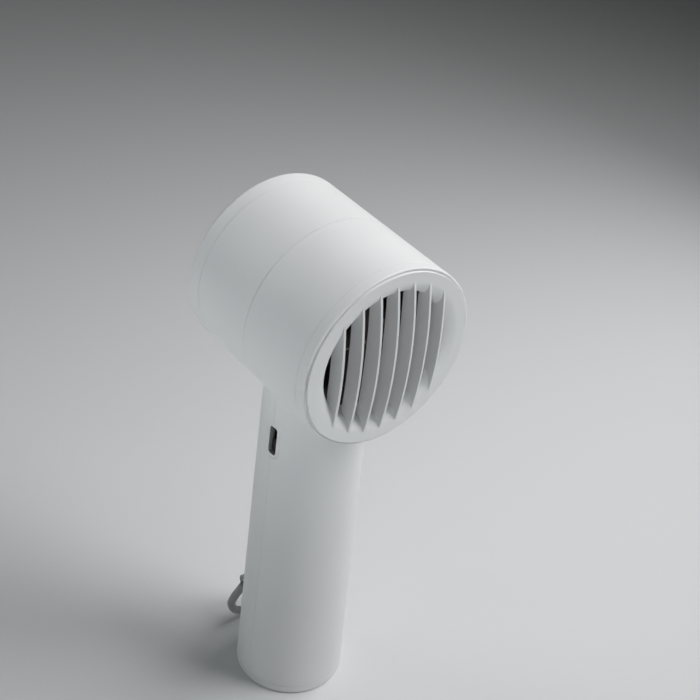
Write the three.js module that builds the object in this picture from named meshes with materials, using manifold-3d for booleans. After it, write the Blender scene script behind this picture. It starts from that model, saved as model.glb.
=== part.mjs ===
// Hair dryer: a short round barrel on a slightly flared round handle.
// Millimetres, +Z up along the handle, outlet facing -Y, origin at the middle of the handle's flat base.
import * as THREE from 'three';
import { mergeVertices } from 'three/addons/utils/BufferGeometryUtils.js';
import Module from 'manifold-3d';

const wasm = await Module();
wasm.setup();

const gap = 0.3;

// Barrel: distances called "depth" run back from the face of the outlet ring.
const barrelRadius = 37.5;
const barrelTaper = 0.3;
const barrelLength = 76.5;
const barrelHeight = 190;
const outletY = -39;
const barrelBore = 34.9;
const barrelSides = 48;
const ringRadius = 36.2;
const ringStep = 1;
const bandEnd = 5.3;
const middleSeam = 38.2;
const coverSeam = 69;

// Outlet: seven flat vanes between a rounded lip, bowed out as a shallow dome.
const vaneCount = 7;
const vanePitch = 7.53;
const vaneThickness = 1;
const lipRadius = 32;
const lipDepth = 5.5;
const throatRadius = lipRadius - lipDepth;
const domeRise = 3.5;
const domeBow = 0.0033;
const vaneBackDepth = 3.8;
const vaneBackBow = 0.0018;
const mouldWall = 1.6;

// Handle.
const handleBaseRadius = 23.08;
const handleSlope = 0.01475;
const handleWall = 2.2;
const handleSides = 40;
const seamY = -2;
const capHeight = 4;
const saddleWall = 3;
const neckRadius = 10.4;
const neckBore = 8.4;

const group = new THREE.Group();

const finishes = {
  whitePlastic: { color: 0xe6e7e8, roughness: 0.55, metalness: 0 },
  darkPlastic: { color: 0x2c2e31, roughness: 0.5, metalness: 0 },
  greyPlastic: { color: 0x8e9195, roughness: 0.55, metalness: 0 },
  blackPlastic: { color: 0x1b1c1e, roughness: 0.45, metalness: 0 },
  rubber: { color: 0xa7aaad, roughness: 0.8, metalness: 0 },
  steel: { color: 0xb9bcc0, roughness: 0.32, metalness: 1 },
  mica: { color: 0xb3a68c, roughness: 0.7, metalness: 0 },
  wire: { color: 0x8d7f78, roughness: 0.4, metalness: 1 },
  mesh: { color: 0x6f7377, roughness: 0.45, metalness: 1 },
  board: { color: 0x2e5a3f, roughness: 0.5, metalness: 0 },
  brass: { color: 0xc0a060, roughness: 0.35, metalness: 1 },
  yellowPlastic: { color: 0xd8b84a, roughness: 0.5, metalness: 0 },
};

function addPiece(name, geometry, finish, position = [0, 0, 0]) {
  const material = new THREE.MeshStandardMaterial(finishes[finish]);
  const mesh = new THREE.Mesh(geometry, material);
  mesh.name = name;
  mesh.position.set(...position);
  group.add(mesh);
  return mesh;
}

// Turns a geometry into a solid that can be joined and cut.
function toSolid(geometry) {
  const bare = geometry.clone();
  bare.deleteAttribute('normal');
  bare.deleteAttribute('uv');
  const merged = mergeVertices(bare, 1e-4);
  const corners = merged.index.array;
  const triangles = [];
  for (let i = 0; i < corners.length; i += 3) {
    const [a, b, c] = [corners[i], corners[i + 1], corners[i + 2]];
    if (a !== b && b !== c && c !== a) {
      triangles.push(a, b, c);
    }
  }
  return new wasm.Manifold(new wasm.Mesh({
    numProp: 3,
    vertProperties: Float32Array.from(merged.attributes.position.array),
    triVerts: Uint32Array.from(triangles),
  }));
}

function toGeometry(solid) {
  const mesh = solid.getMesh();
  const geometry = new THREE.BufferGeometry();
  geometry.setAttribute('position', new THREE.BufferAttribute(mesh.vertProperties, 3));
  geometry.setIndex(new THREE.BufferAttribute(mesh.triVerts, 1));
  geometry.computeVertexNormals();
  return geometry;
}

function joinAll(solids) {
  return solids.reduce((whole, next) => whole.add(next));
}

// Turns a profile of [radius, height] corners round the Y axis.
// A profile that starts and ends on the axis stays open; any other one is closed.
function revolve(profile, sides = barrelSides) {
  let area = 0;
  profile.forEach(([r, y], i) => {
    const [nextR, nextY] = profile[(i + 1) % profile.length];
    area += r * nextY - nextR * y;
  });
  const loop = area > 0 ? [...profile] : [...profile].reverse();
  const onAxis = loop[0][0] === 0 && loop[loop.length - 1][0] === 0;
  if (!onAxis) {
    loop.push(loop[0]);
  }
  return new THREE.LatheGeometry(loop.map(([r, y]) => new THREE.Vector2(r, y)), sides);
}

// The same, turned upright so that the profile's heights run along Z.
function revolveUpright(profile, sides = handleSides) {
  return revolve(profile, sides).rotateX(Math.PI / 2);
}

function box(width, depth, height, x, y, z) {
  return new THREE.BoxGeometry(width, depth, height).translate(x, y, z);
}

function cylinderAlongX(radius, length, x, y, z, sides = 20) {
  return new THREE.CylinderGeometry(radius, radius, length, sides).rotateZ(Math.PI / 2).translate(x, y, z);
}

function cylinderAlongY(radius, length, x, y, z, sides = 24) {
  return new THREE.CylinderGeometry(radius, radius, length, sides).translate(x, y, z);
}

function cylinderAlongZ(radius, length, x, y, z, sides = 24) {
  return new THREE.CylinderGeometry(radius, radius, length, sides).rotateX(Math.PI / 2).translate(x, y, z);
}

// A flat pill outline, width across and height between its round ends.
function pillShape(width, height, steps = 8) {
  const shape = new THREE.Shape();
  const radius = width / 2;
  const straight = height / 2 - radius;
  for (let i = 0; i <= steps; i += 1) {
    const angle = Math.PI * i / steps;
    const x = radius * Math.cos(angle);
    const y = straight + radius * Math.sin(angle);
    if (i === 0) {
      shape.moveTo(x, y);
    } else {
      shape.lineTo(x, y);
    }
  }
  for (let i = 0; i <= steps; i += 1) {
    const angle = Math.PI + Math.PI * i / steps;
    shape.lineTo(radius * Math.cos(angle), -straight + radius * Math.sin(angle));
  }
  shape.closePath();
  return shape;
}

// A pill standing upright along Z, extruded towards +X or +Y and centred where it is told.
function pillAlongX(width, height, length, x, y, z) {
  const geometry = new THREE.ExtrudeGeometry(pillShape(width, height), { depth: length, bevelEnabled: false });
  geometry.translate(0, 0, -length / 2);
  return geometry.rotateX(Math.PI / 2).rotateZ(Math.PI / 2).translate(x, y, z);
}

function pillAlongY(width, height, length, x, y, z) {
  const geometry = new THREE.ExtrudeGeometry(pillShape(width, height), { depth: length, bevelEnabled: false });
  geometry.translate(0, 0, -length / 2);
  return geometry.rotateX(Math.PI / 2).translate(x, y, z);
}

// Barrel surfaces -----------------------------------------------------------------

function atDepth(depth) {
  return outletY + depth;
}

function barrelSurface(depth) {
  return barrelRadius - barrelTaper * depth / barrelLength;
}

// Radius of the rounded lip at a depth behind the ring's face, moved out by an offset.
function lipSurface(depth, offset = 0) {
  const fall = Math.min(depth, lipDepth) / lipDepth;
  return lipRadius - lipDepth * Math.sqrt(Math.max(0, 1 - (1 - fall) ** 2)) + offset;
}

function arcPoints(centreR, centreDepth, radius, from, to, steps) {
  const points = [];
  for (let i = 0; i <= steps; i += 1) {
    const angle = from + (to - from) * i / steps;
    points.push([centreR + radius * Math.cos(angle), centreDepth + radius * Math.sin(angle)]);
  }
  return points;
}

function onBarrel(profile) {
  return profile.map(([r, depth]) => [r, atDepth(depth)]);
}

const barrelPlace = [0, 0, barrelHeight];

// Outlet ring and its vanes are one moulding.
const throatEnd = 11;
const skirtRadius = 34.5;
const skirtEnd = 8;
const ringProfile = onBarrel([
  [ringRadius - 0.3, 0],
  [ringRadius, 0.3],
  [ringRadius, ringStep],
  [skirtRadius, ringStep],
  [skirtRadius, skirtEnd],
  [skirtRadius - mouldWall, skirtEnd],
  [skirtRadius - mouldWall, mouldWall],
  ...arcPoints(lipRadius, lipDepth, lipDepth - mouldWall, -Math.PI / 2, -Math.PI, 5),
  [throatRadius + mouldWall, throatEnd],
  [throatRadius, throatEnd],
  ...arcPoints(lipRadius, lipDepth, lipDepth, -Math.PI, -Math.PI / 2, 8),
]);

function vaneSolid(x) {
  const upright = (radius) => Math.sqrt(radius * radius - x * x);
  const edgeRadius = lipRadius - 0.2;
  const corners = [];
  const steps = 12;
  const frontTop = upright(edgeRadius);
  for (let i = 0; i <= steps; i += 1) {
    const z = frontTop * (2 * i / steps - 1);
    corners.push([-domeRise + domeBow * (x * x + z * z), z]);
  }
  const endSteps = 6;
  const deepest = 4.9;
  for (let i = 0; i <= endSteps; i += 1) {
    const depth = 0.6 + (deepest - 0.6) * i / endSteps;
    corners.push([depth, upright(lipSurface(depth, mouldWall / 2))]);
  }
  const backTop = upright(lipSurface(deepest, mouldWall / 2));
  for (let i = 1; i < steps; i += 1) {
    const z = backTop * (1 - 2 * i / steps);
    corners.push([vaneBackDepth + vaneBackBow * (x * x + z * z), z]);
  }
  for (let i = endSteps; i >= 0; i -= 1) {
    const depth = 0.6 + (deepest - 0.6) * i / endSteps;
    corners.push([depth, -upright(lipSurface(depth, mouldWall / 2))]);
  }
  const shape = new THREE.Shape(corners.map(([depth, z]) => new THREE.Vector2(atDepth(depth), z)));
  const geometry = new THREE.ExtrudeGeometry(shape, { depth: vaneThickness, bevelEnabled: false });
  geometry.translate(0, 0, -vaneThickness / 2);
  geometry.rotateX(Math.PI / 2).rotateZ(Math.PI / 2);
  // The turned outline lies in the YZ plane, so only X is left to place.
  return toSolid(geometry.translate(x, 0, 0));
}

const outletParts = [toSolid(revolve(ringProfile))];
for (let i = 0; i < vaneCount; i += 1) {
  outletParts.push(vaneSolid((i - (vaneCount - 1) / 2) * vanePitch));
}
addPiece('outlet_grille', toGeometry(joinAll(outletParts)), 'whitePlastic', barrelPlace);

const bandStart = ringStep + gap;
addPiece('front_band', revolve(onBarrel([
  [barrelBore, bandStart],
  [barrelRadius - 1.5, bandStart],
  [barrelRadius - 0.7, bandStart + 0.15],
  [barrelRadius - 0.15, bandStart + 0.7],
  [barrelRadius, bandStart + 1.5],
  [barrelSurface(bandEnd), bandEnd - gap / 2],
  [barrelBore, bandEnd - gap / 2],
])), 'whitePlastic', barrelPlace);

// The wiring hole under the barrel is shared by the front and rear shells.
const wiringHole = toSolid(cylinderAlongZ(neckRadius + gap, 20, 0, 0, -barrelRadius, 24));

function barrelShell(start, end) {
  return toSolid(revolve(onBarrel([
    [barrelBore, start],
    [barrelSurface(start) - 0.2, start],
    [barrelSurface(start), start + 0.25],
    [barrelSurface(end), end - 0.25],
    [barrelSurface(end) - 0.2, end],
    [barrelBore, end],
  ])));
}

const frontShell = barrelShell(bandEnd + gap / 2, middleSeam - gap / 2).subtract(wiringHole);
addPiece('front_barrel_shell', toGeometry(frontShell), 'whitePlastic', barrelPlace);
const rearShell = barrelShell(middleSeam + gap / 2, coverSeam - gap / 2).subtract(wiringHole);
addPiece('rear_barrel_shell', toGeometry(rearShell), 'whitePlastic', barrelPlace);

// Intake cover: a cap with rings of slots, pulled off backwards to clean the filter.
const coverRound = 2.2;
const coverFace = 2;
const coverRimRadius = skirtRadius;
const coverRimStart = 66.4;
const coverEdge = barrelSurface(barrelLength);
const coverProfile = onBarrel([
  [0, barrelLength - coverFace],
  [coverRimRadius - 2, barrelLength - coverFace],
  [coverRimRadius - 2, coverRimStart],
  [coverRimRadius, coverRimStart],
  [coverRimRadius, coverSeam + gap / 2],
  [coverEdge - 0.2, coverSeam + gap / 2],
  [coverEdge, coverSeam + gap / 2 + 0.25],
  ...arcPoints(coverEdge - coverRound, barrelLength - coverRound, coverRound, 0, Math.PI / 2, 4),
  [0, barrelLength],
]);
const slotWidth = 3.4;
const slotPitch = 5.6;
const slotFirst = 5;
const slotRings = 5;
const coverSpokes = 6;
const spokeWidth = 2.4;
const slotSolids = [];
for (let i = 0; i < slotRings; i += 1) {
  const inner = slotFirst + slotPitch * i;
  slotSolids.push(toSolid(revolve(onBarrel([
    [inner, barrelLength - coverFace - 1],
    [inner + slotWidth, barrelLength - coverFace - 1],
    [inner + slotWidth, barrelLength + 1],
    [inner, barrelLength + 1],
  ]), 36)));
}
const spokeSolids = [];
for (let i = 0; i < coverSpokes / 2; i += 1) {
  const spoke = box(spokeWidth, 12, barrelRadius * 2, 0, atDepth(barrelLength), 0);
  spokeSolids.push(toSolid(spoke.rotateY(Math.PI * 2 * i / coverSpokes)));
}
const coverSlots = joinAll(slotSolids).subtract(joinAll(spokeSolids));
addPiece('intake_cover', toGeometry(toSolid(revolve(coverProfile)).subtract(coverSlots)), 'whitePlastic', barrelPlace);

// The filter sits in the cover, behind its slots.
const filterRadius = coverRimRadius - 2 - gap;
addPiece('intake_filter', revolve(onBarrel([
  [0, barrelLength - coverFace - gap - 0.8],
  [filterRadius, barrelLength - coverFace - gap - 0.8],
  [filterRadius, barrelLength - coverFace - gap],
  [0, barrelLength - coverFace - gap],
]), 36), 'mesh', barrelPlace);

// Inside the barrel ---------------------------------------------------------------

// Fan housing: the air duct round the impeller, with a cup that holds the motor on fixed blades.
const ductBore = 31.2;
const ductEnd = 66;
const cupRadius = 14.4;
const cupBore = 12.9;
const statorBlades = 7;
const innerSides = 32;
const housingTube = toSolid(revolve(onBarrel([
  [28.9, 31],
  [30.6, 31],
  [30.6, 38],
  [skirtRadius, 40],
  [skirtRadius, ductEnd],
  [ductBore, ductEnd],
  [ductBore, 42],
  [28.9, 38.5],
])));
const motorCup = toSolid(revolve(onBarrel([
  [cupRadius, 42],
  [cupRadius, 58.4],
  [2.6, 58.4],
  [2.6, 57],
  [cupBore, 57],
  [cupBore, 42],
]), innerSides));
const housingParts = [housingTube, motorCup];
for (let i = 0; i < statorBlades; i += 1) {
  const bladeSpan = ductBore - cupRadius + 1.2;
  const blade = new THREE.BoxGeometry(1.3, 11, bladeSpan);
  blade.translate(0, atDepth(50), cupRadius - 0.6 + bladeSpan / 2);
  housingParts.push(toSolid(blade.rotateY(Math.PI * 2 * i / statorBlades)));
}
addPiece('fan_housing', toGeometry(joinAll(housingParts)), 'darkPlastic', barrelPlace);

addPiece('motor_can', revolve(onBarrel([
  [12.5, 37],
  [12.5, 56],
  [11.9, 56.6],
  [2.1, 56.6],
  [2.1, 37],
]), innerSides), 'steel', barrelPlace);
addPiece('motor_end_cap', revolve(onBarrel([
  [11.8, 35.5],
  [12.3, 36],
  [12.3, 36.7],
  [2.1, 36.7],
  [2.1, 35.5],
]), innerSides), 'blackPlastic', barrelPlace);

const shaftRadius = 1.6;
addPiece('motor_shaft', revolve(onBarrel([
  [0, 34.8],
  [shaftRadius, 34.8],
  [shaftRadius, 66.6],
  [0, 66.6],
]), 16), 'steel', barrelPlace);

const impellerBlades = 9;
const impellerTip = 30;
const impellerHub = 14;
const bladeTurn = THREE.MathUtils.degToRad(40);
const hubSolid = toSolid(revolve(onBarrel([
  [1.9, 58.9],
  [impellerHub, 58.9],
  [impellerHub, 63.6],
  [impellerHub - 2.6, 66],
  [1.9, 66],
]), innerSides));
const impellerParts = [hubSolid];
for (let i = 0; i < impellerBlades; i += 1) {
  const root = impellerHub - 1.5;
  const blade = new THREE.BoxGeometry(8, 1.3, impellerTip - root);
  blade.rotateZ(bladeTurn);
  blade.translate(0, atDepth(62), (root + impellerTip) / 2);
  impellerParts.push(toSolid(blade.rotateY(Math.PI * 2 * i / impellerBlades)));
}
addPiece('fan_impeller', toGeometry(joinAll(impellerParts)), 'greyPlastic', barrelPlace);

// Heater: two mica plates slotted into a cross, wound with two wires, in a mica sleeve.
const heaterStart = 12.5;
const heaterEnd = 33.5;
const heaterMiddle = (heaterStart + heaterEnd) / 2;
const micaThickness = 1;
const micaRadius = 25.4;
function micaPlate(slotDepth) {
  const plate = toSolid(box(micaRadius * 2, heaterEnd - heaterStart, micaThickness, 0, atDepth(heaterMiddle), 0));
  const slotLength = (heaterEnd - heaterStart) / 2 + gap;
  return plate.subtract(toSolid(box(micaThickness + 2 * gap, slotLength, 4, 0, atDepth(slotDepth), 0)));
}
const quarter = (heaterEnd - heaterStart) / 4;
addPiece('mica_plate_level', toGeometry(micaPlate(heaterMiddle + quarter)), 'mica', barrelPlace);
const uprightPlate = addPiece('mica_plate_upright', toGeometry(micaPlate(heaterMiddle - quarter)), 'mica', barrelPlace);
uprightPlate.rotation.y = Math.PI / 2;

const wireRadius = 0.8;
const coilRadius = micaRadius + gap + wireRadius;
const coilTurns = 3;
class CoilCurve extends THREE.Curve {
  constructor(start, end) {
    super();
    this.start = start;
    this.end = end;
  }

  getPoint(t, target = new THREE.Vector3()) {
    const angle = Math.PI * 2 * coilTurns * t;
    const depth = this.start + (this.end - this.start) * t;
    return target.set(coilRadius * Math.cos(angle), atDepth(depth), coilRadius * Math.sin(angle));
  }
}
function wireSection(radius, sides) {
  const shape = new THREE.Shape();
  for (let i = 0; i < sides; i += 1) {
    const angle = Math.PI * 2 * i / sides;
    if (i === 0) {
      shape.moveTo(radius * Math.cos(angle), radius * Math.sin(angle));
    } else {
      shape.lineTo(radius * Math.cos(angle), radius * Math.sin(angle));
    }
  }
  shape.closePath();
  return shape;
}
function heatingCoil(start, end) {
  return new THREE.ExtrudeGeometry(wireSection(wireRadius, 5), {
    steps: 22 * coilTurns,
    extrudePath: new CoilCurve(start, end),
    bevelEnabled: false,
  });
}
addPiece('heating_coil_front', heatingCoil(14, 22), 'wire', barrelPlace);
addPiece('heating_coil_rear', heatingCoil(24.5, 32.5), 'wire', barrelPlace);

const sleeveBore = coilRadius + wireRadius + gap;
addPiece('mica_sleeve', revolve(onBarrel([
  [sleeveBore, throatEnd + gap],
  [sleeveBore + 0.7, throatEnd + gap],
  [sleeveBore + 0.7, heaterEnd + 1],
  [sleeveBore, heaterEnd + 1],
]), innerSides), 'mica', barrelPlace);

const overPlate = micaThickness / 2 + gap;
addPiece('thermostat', cylinderAlongZ(5, 4, 12, atDepth(20), overPlate + 2, 20), 'greyPlastic', barrelPlace);
addPiece('thermal_fuse', cylinderAlongY(1.9, 9, -12, atDepth(21), overPlate + 1.9, 14), 'steel', barrelPlace);

// Handle --------------------------------------------------------------------------

function handleSurface(z) {
  return handleBaseRadius - handleSlope * z;
}

// A band of the handle's surface between two offsets, from one height to another.
function handleSkin(innerOffset, outerOffset, bottom, top) {
  return toSolid(revolveUpright([
    [handleSurface(bottom) + innerOffset, bottom],
    [handleSurface(bottom) + outerOffset, bottom],
    [handleSurface(top) + outerOffset, top],
    [handleSurface(top) + innerOffset, top],
  ]));
}

const handleTop = barrelHeight - 20;
const outerSolid = toSolid(revolveUpright([
  [0, capHeight + gap],
  [handleSurface(capHeight) - 0.25, capHeight + gap],
  [handleSurface(capHeight), capHeight + gap + 0.3],
  [handleSurface(handleTop), handleTop],
  [0, handleTop],
]));
const cavitySolid = toSolid(revolveUpright([
  [0, capHeight - 1],
  [handleSurface(capHeight) - handleWall, capHeight - 1],
  [handleSurface(handleTop) - handleWall, handleTop],
  [0, handleTop],
]));
function barrelCutter(radius) {
  return toSolid(cylinderAlongY(radius, 120, 0, 0, barrelHeight, 96));
}
const cavity = cavitySolid.subtract(barrelCutter(barrelRadius + gap + saddleWall));
const neckTop = barrelHeight - barrelBore - gap;
const neck = toSolid(cylinderAlongZ(neckRadius, 9, 0, 0, neckTop - 4.5, 24));
const neckHole = toSolid(cylinderAlongZ(neckBore, 40, 0, 0, neckTop - 10, 24));

// Controls on the handle.
const sideSlotZ = 134;
const sideSlotWidth = 4.3;
const sideSlotHeight = 13.4;
const bezelWidth = 7.4;
const bezelHeight = 16.6;
const powerZ = 102;
const powerSlotWidth = 5;
const powerSlotHeight = 14;
const powerTravel = 6;
const coolZ = 137;
const coolRadius = 5;

const bezelHole = toSolid(pillAlongX(bezelWidth + 2 * gap, bezelHeight + 2 * gap, 16, -22, seamY, sideSlotZ));
const powerHole = toSolid(pillAlongY(powerSlotWidth, powerSlotHeight, 16, 0, 22, powerZ));
const coolHole = toSolid(cylinderAlongY(coolRadius + gap, 16, 0, 22, coolZ));

// Lug for the hanging loop, on the lower back of the handle.
const loopY = 30.5;
const loopZ = 22;
const lugWidth = 5;
const pinRadius = 1.3;
const lugArm = box(lugWidth, 12, 7, 0, loopY - 6, loopZ);
const lug = toSolid(lugArm).add(toSolid(cylinderAlongX(3.5, lugWidth, 0, loopY, loopZ, 18)));
const lugHole = toSolid(cylinderAlongX(pinRadius + gap, 20, 0, loopY, loopZ, 16));

const handleSolid = outerSolid
  .subtract(barrelCutter(barrelRadius + gap))
  .add(neck)
  .subtract(cavity)
  .subtract(neckHole)
  .add(lug.subtract(cavity))
  .subtract(lugHole)
  .subtract(bezelHole)
  .subtract(powerHole)
  .subtract(coolHole);
const farSide = 60;
const frontHalf = toSolid(box(120, farSide, 400, 0, seamY - gap / 2 - farSide / 2, 100));
const rearHalf = toSolid(box(120, farSide, 400, 0, seamY + gap / 2 + farSide / 2, 100));
addPiece('handle_front_shell', toGeometry(handleSolid.intersect(frontHalf)), 'whitePlastic');
addPiece('handle_rear_shell', toGeometry(handleSolid.intersect(rearHalf)), 'whitePlastic');

// Side selector: a flush bezel round a recessed slide.
const bezelSkin = handleSkin(-2.4, 0, sideSlotZ - 15, sideSlotZ + 15);
const bezelRing = toSolid(pillAlongX(bezelWidth, bezelHeight, 10, -20, seamY, sideSlotZ))
  .subtract(toSolid(pillAlongX(sideSlotWidth, sideSlotHeight, 16, -20, seamY, sideSlotZ)));
addPiece('selector_bezel', toGeometry(bezelSkin.intersect(bezelRing)), 'whitePlastic');

const selectorKnobHeight = 6;
const selectorTravel = sideSlotHeight - selectorKnobHeight - 1.4;
const selectorX = -handleSurface(sideSlotZ) + 1.5;
const selectorKnobZ = sideSlotZ - selectorTravel / 2;
const selectorKnob = toSolid(pillAlongX(sideSlotWidth - 2 * gap, selectorKnobHeight, 2.4, selectorX + 1.2, seamY, selectorKnobZ));
const selectorPlate = toSolid(box(1, 6.4, 20, selectorX + 2.6, seamY, selectorKnobZ));
addPiece('selector_slide', toGeometry(selectorKnob.add(selectorPlate)), 'darkPlastic');
addPiece('selector_switch', box(5, 8, 16, selectorX + 6, seamY, sideSlotZ), 'blackPlastic');

// Power slide on the back of the handle, with its switch inside.
const powerRadius = handleSurface(powerZ);
const powerStemHeight = powerSlotHeight - powerTravel - 2 * gap;
const powerStemZ = powerZ - powerTravel / 2;
const powerPad = handleSkin(gap + 0.1, 2, powerZ - 25, powerZ + 25)
  .intersect(toSolid(pillAlongY(11, 24, 14, 0, 22, powerStemZ)));
const powerStem = toSolid(pillAlongY(powerSlotWidth - 2 * gap, powerStemHeight, 6, 0, powerRadius - 1.8, powerStemZ));
addPiece('power_slide', toGeometry(powerPad.add(powerStem)), 'greyPlastic');
const powerSwitchBack = powerRadius - 4.8 - gap;
addPiece('power_switch', box(12, 9, 20, 0, powerSwitchBack - 4.5, powerZ), 'blackPlastic');

// Cool-shot button above it, with a flange inside that keeps it in.
const coolSurface = handleSurface(coolZ);
const coolTravel = 1.5;
const coolInside = coolSurface - handleWall - gap - 1.1;
const coolProud = 1.3;
addPiece('cool_shot_button', revolve([
  [0, coolInside - 1.2],
  [coolRadius + 1, coolInside - 1.2],
  [coolRadius + 1, coolInside],
  [coolRadius, coolInside],
  [coolRadius, coolSurface + coolProud - 0.5],
  [coolRadius - 0.5, coolSurface + coolProud],
  [0, coolSurface + coolProud],
], 24), 'greyPlastic', [0, 0, coolZ]);
const coolSwitchBack = coolInside - 1.2 - coolTravel - gap;
addPiece('cool_shot_switch', box(7, 6, 7, 0, coolSwitchBack - 3, coolZ), 'blackPlastic');

// Control board and its suppression capacitor, in front of the switches.
const boardThickness = 1.6;
const boardY = -8;
addPiece('control_board', box(26, boardThickness, 84, 0, boardY, 72), 'board');
addPiece('suppression_capacitor', box(14, 6.4, 15, 0, boardY - boardThickness / 2 - gap - 3.2, 54), 'yellowPlastic');

// Base cap, held by two screws, with the cord gland behind the middle of its flat face.
const capPlug = handleSurface(0) - handleWall - gap;
const capPlugTop = capHeight + 4;
const glandHole = 6.6;
const glandY = 9.5;
const capRound = 1.2;
const screwX = 14;
const screwHead = 2.5;
const screwShank = 1.3;
const screwBoss = 3.4;
const capDisc = toSolid(revolveUpright([
  [0, 0],
  [handleBaseRadius - capRound, 0],
  [handleBaseRadius - 0.35, 0.35],
  [handleSurface(capRound), capRound],
  [handleSurface(capHeight), capHeight - 0.3],
  [handleSurface(capHeight) - 0.25, capHeight],
  [0, capHeight],
]));
const capParts = [capDisc, toSolid(revolveUpright([
  [capPlug - 1.8, capHeight - 0.5],
  [capPlug, capHeight - 0.5],
  [capPlug, capPlugTop],
  [capPlug - 1.8, capPlugTop],
]))];
const capCuts = [toSolid(cylinderAlongZ(glandHole, 20, 0, glandY, 0))];
for (const side of [-1, 1]) {
  capParts.push(toSolid(cylinderAlongZ(screwBoss, 4.5, side * screwX, 0, capPlugTop - 2.25, 18)));
  capCuts.push(toSolid(cylinderAlongZ(screwHead + gap, 6, side * screwX, 0, -0.6, 18)));
  capCuts.push(toSolid(cylinderAlongZ(screwShank + gap, 30, side * screwX, 0, 8, 18)));
}
addPiece('base_cap', toGeometry(joinAll(capParts).subtract(joinAll(capCuts))), 'whitePlastic');
[['base_screw_left', -1], ['base_screw_right', 1]].forEach(([name, side]) => {
  addPiece(name, revolveUpright([
    [0, 0.5],
    [screwHead, 0.5],
    [screwHead, 2.1],
    [screwShank, 2.1],
    [screwShank, 9.5],
    [0, 9.5],
  ], 16), 'steel', [side * screwX, 0, 0]);
});
const glandBore = 3.6;
addPiece('cord_gland', revolveUpright([
  [glandBore, 0.5],
  [glandHole - gap, 0.5],
  [glandHole - gap, capHeight + gap],
  [glandHole + 2, capHeight + gap],
  [glandHole + 2, capHeight + 2],
  [glandBore, capHeight + 2],
], 24), 'rubber', [0, glandY, 0]);

// Hanging loop on its pin: two eyes joined by a bowed bar. At rest it hangs straight down.
const eyeInner = lugWidth / 2 + gap;
const eyeWidth = 2.4;
const loopWire = 1.8;
const loopLength = 19.4;
const loopHalfWidth = 11;
const eyeX = eyeInner + eyeWidth / 2;
const loopSide = [
  [eyeX, 1],
  [eyeX + 3, 4.5],
  [loopHalfWidth - 1.4, loopLength * 0.38],
  [loopHalfWidth, loopLength * 0.58],
  [loopHalfWidth - 3, loopLength * 0.85],
];
const loopPoints = [
  ...loopSide.map(([x, y]) => new THREE.Vector3(x, loopY, loopZ - y)),
  new THREE.Vector3(0, loopY, loopZ - loopLength),
  ...[...loopSide].reverse().map(([x, y]) => new THREE.Vector3(-x, loopY, loopZ - y)),
];
const loopBar = toSolid(new THREE.ExtrudeGeometry(wireSection(loopWire, 8), {
  steps: 36,
  extrudePath: new THREE.CatmullRomCurve3(loopPoints),
  bevelEnabled: false,
}));
const eyes = [-1, 1].map((side) => toSolid(cylinderAlongX(3, eyeWidth, side * eyeX, loopY, loopZ, 18)));
const loopSolid = joinAll([loopBar, ...eyes]).subtract(lugHole);
addPiece('hanging_loop', toGeometry(loopSolid), 'rubber');
const pinLength = 2 * (eyeInner + eyeWidth);
addPiece('loop_pin', cylinderAlongX(pinRadius, pinLength, 0, loopY, loopZ, 16), 'steel');

export default group;
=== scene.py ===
"""A hand-held hair dryer: a short round barrel across a plain round handle, in matte white plastic."""

import math

import bmesh
import bpy
from mathutils import Matrix, Vector


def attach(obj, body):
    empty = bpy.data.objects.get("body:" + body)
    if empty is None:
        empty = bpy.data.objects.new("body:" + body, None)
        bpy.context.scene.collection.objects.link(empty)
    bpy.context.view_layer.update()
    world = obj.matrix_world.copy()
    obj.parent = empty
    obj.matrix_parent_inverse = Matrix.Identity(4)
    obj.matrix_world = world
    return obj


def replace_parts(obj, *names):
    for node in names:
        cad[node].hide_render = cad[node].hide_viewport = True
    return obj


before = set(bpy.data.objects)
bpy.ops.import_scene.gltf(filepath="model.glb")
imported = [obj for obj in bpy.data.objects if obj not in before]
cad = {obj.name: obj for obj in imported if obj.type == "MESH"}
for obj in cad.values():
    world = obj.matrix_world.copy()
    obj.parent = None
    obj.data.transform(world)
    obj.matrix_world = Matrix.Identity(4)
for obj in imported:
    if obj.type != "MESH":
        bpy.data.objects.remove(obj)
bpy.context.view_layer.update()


# ---------------------------------------------------------------------------------------------
# Outlet ring and vanes
# One stiff moulding in matte white plastic: a flat ring, a rounded lip that leads the air out,
# and seven thin upright vanes whose front edges lie on a shallow dome. It plugs into the band.
# ---------------------------------------------------------------------------------------------

barrel_z = 0.190
outlet_y = -0.039
ring_radius = 0.0362
ring_edge = 0.0002
ring_step = 0.001
lip_radius = 0.032
lip_depth = 0.0055
mould_wall = 0.0016
skirt_radius = 0.0345
skirt_end = 0.008
throat_end = 0.011
vane_count = 7
vane_pitch = 0.00753
vane_thickness = 0.0009
dome_rise = 0.0035
dome_bow = 3.3
vane_back = 0.0038
vane_back_bow = 1.8
fine_sides = 192
fine_weld = 2e-7
weld = 5e-7

BARREL_AXIS = (0, 1, 0)
BARREL_CENTRE = (0, 0, barrel_z)


class Wire:
    """One output of a shader node, which can be added to and multiplied."""

    def __init__(self, finish, socket):
        self.finish = finish
        self.socket = socket

    def __add__(self, other):
        return self.finish.maths("ADD", self, other)

    def __radd__(self, other):
        return self.finish.maths("ADD", other, self)

    def __mul__(self, other):
        return self.finish.maths("MULTIPLY", self, other)

    def __rmul__(self, other):
        return self.finish.maths("MULTIPLY", other, self)


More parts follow.
